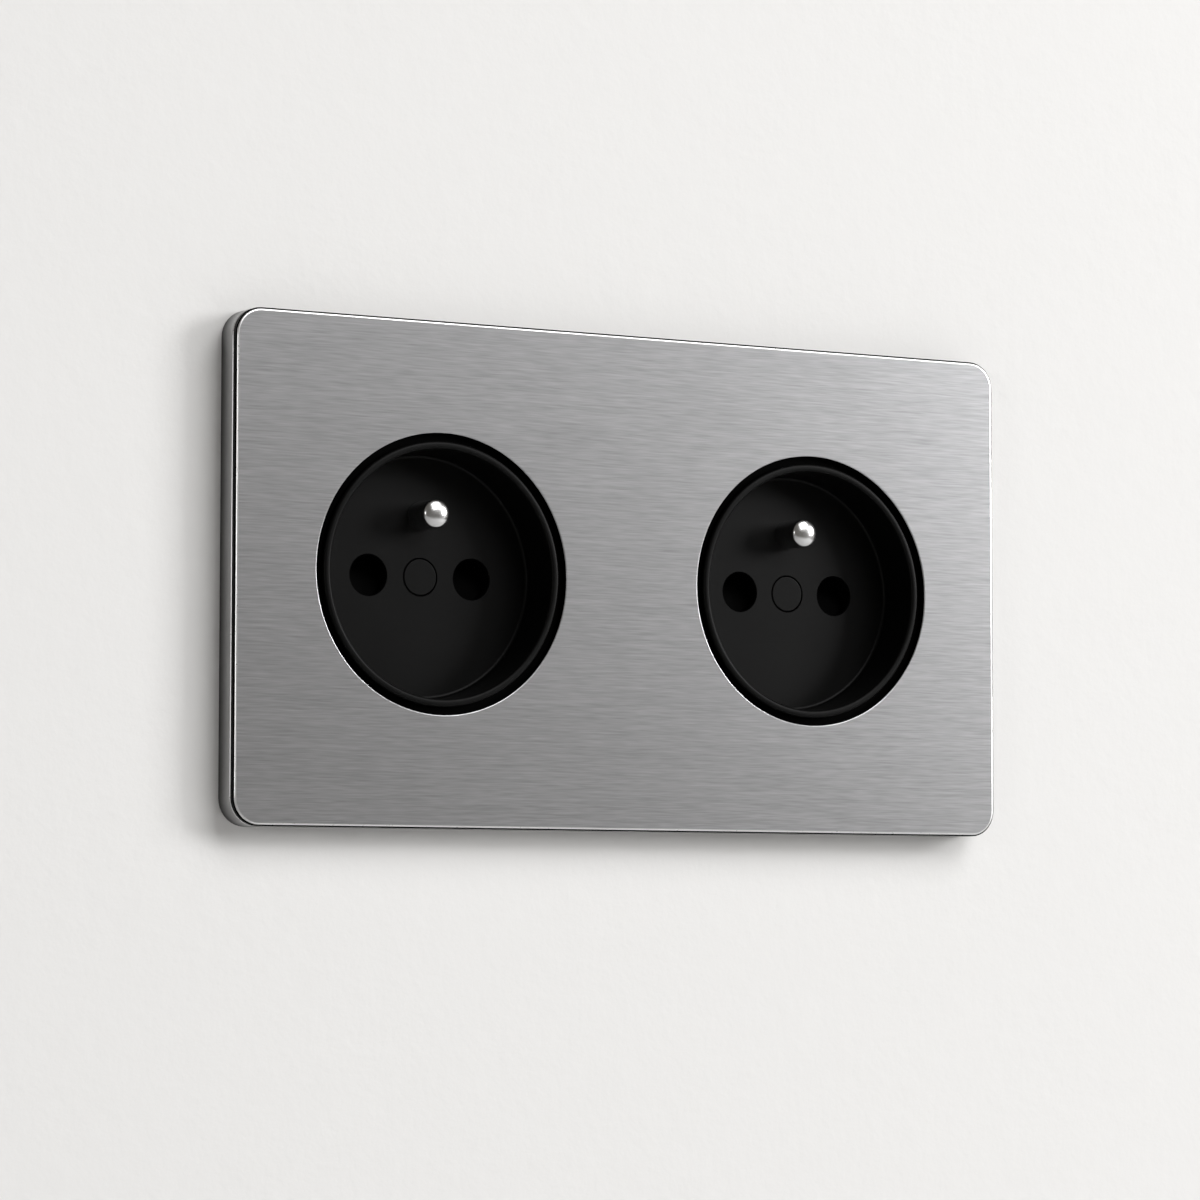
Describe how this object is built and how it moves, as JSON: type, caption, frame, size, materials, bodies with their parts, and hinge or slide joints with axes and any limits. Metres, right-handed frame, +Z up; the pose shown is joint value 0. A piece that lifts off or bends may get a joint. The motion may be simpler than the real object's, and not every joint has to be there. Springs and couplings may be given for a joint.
{
  "type": "double wall socket",
  "caption": "Flush wall socket with a brushed steel plate, round black wells side by side, line holes with sprung shutters behind, and a fixed earth pin in each well.",
  "frame": {"origin": "middle of the surround's rear face, on the wall's surface, between the two sockets", "axes": "+X across the plate to the right, +Y into the wall, +Z up the plate"},
  "size_m": [0.1456, 0.0317, 0.0824],
  "materials": {
    "plate_steel": "brushed along the plate's length",
    "surround_metal": "satin",
    "black_moulding": "fine matt",
    "base_moulding": "plain moulded",
    "shutter_moulding": "smooth moulded",
    "strap_steel": "zinc plated sheet",
    "pin_nickel": "nickel plated, turned",
    "contact_brass": "plain strip and bar",
    "screw_steel": "zinc plated",
    "spring_steel": "drawn wire"
  },
  "bodies": {
    "socket": {"face_plate": "plate_steel", "surround": "surround_metal", "carrier": "black_moulding", "left_strap": "strap_steel", "left_well": "black_moulding", "left_screw_cap": "black_moulding", "left_centre_screw": "screw_steel", "left_earth_pin": "pin_nickel", "left_shutter_spring": "spring_steel", "left_contact_base": "base_moulding", "left_base_screws": "screw_steel", "left_live_contact": "contact_brass", "left_neutral_contact": "contact_brass", "left_earth_bridge": "contact_brass", "left_live_terminal": "contact_brass", "left_neutral_terminal": "contact_brass", "left_earth_terminal": "contact_brass", "left_terminal_screws": "screw_steel", "left_rear_cover": "base_moulding", "left_cover_screws": "screw_steel", "right_strap": "strap_steel", "right_well": "black_moulding", "right_screw_cap": "black_moulding", "right_centre_screw": "screw_steel", "right_earth_pin": "pin_nickel", "right_shutter_spring": "spring_steel", "right_contact_base": "base_moulding", "right_base_screws": "screw_steel", "right_live_contact": "contact_brass", "right_neutral_contact": "contact_brass", "right_earth_bridge": "contact_brass", "right_live_terminal": "contact_brass", "right_neutral_terminal": "contact_brass", "right_earth_terminal": "contact_brass", "right_terminal_screws": "screw_steel", "right_rear_cover": "base_moulding", "right_cover_screws": "screw_steel"},
    "left_shutter": {"left_shutter": "shutter_moulding"},
    "right_shutter": {"right_shutter": "shutter_moulding"}
  },
  "joints": [
    {"name": "left_shutter_slide", "type": "slide", "parent": "socket", "child": "left_shutter", "axis": [0, 0, -1], "range_m": [0, 0.0068], "stiffness_N_per_m": 150, "springref_m": -0.004, "deforming": ["left_shutter_spring"]},
    {"name": "right_shutter_slide", "type": "slide", "parent": "socket", "child": "right_shutter", "axis": [0, 0, -1], "range_m": [0, 0.0068], "stiffness_N_per_m": 150, "springref_m": -0.004, "deforming": ["right_shutter_spring"]}
  ]
}
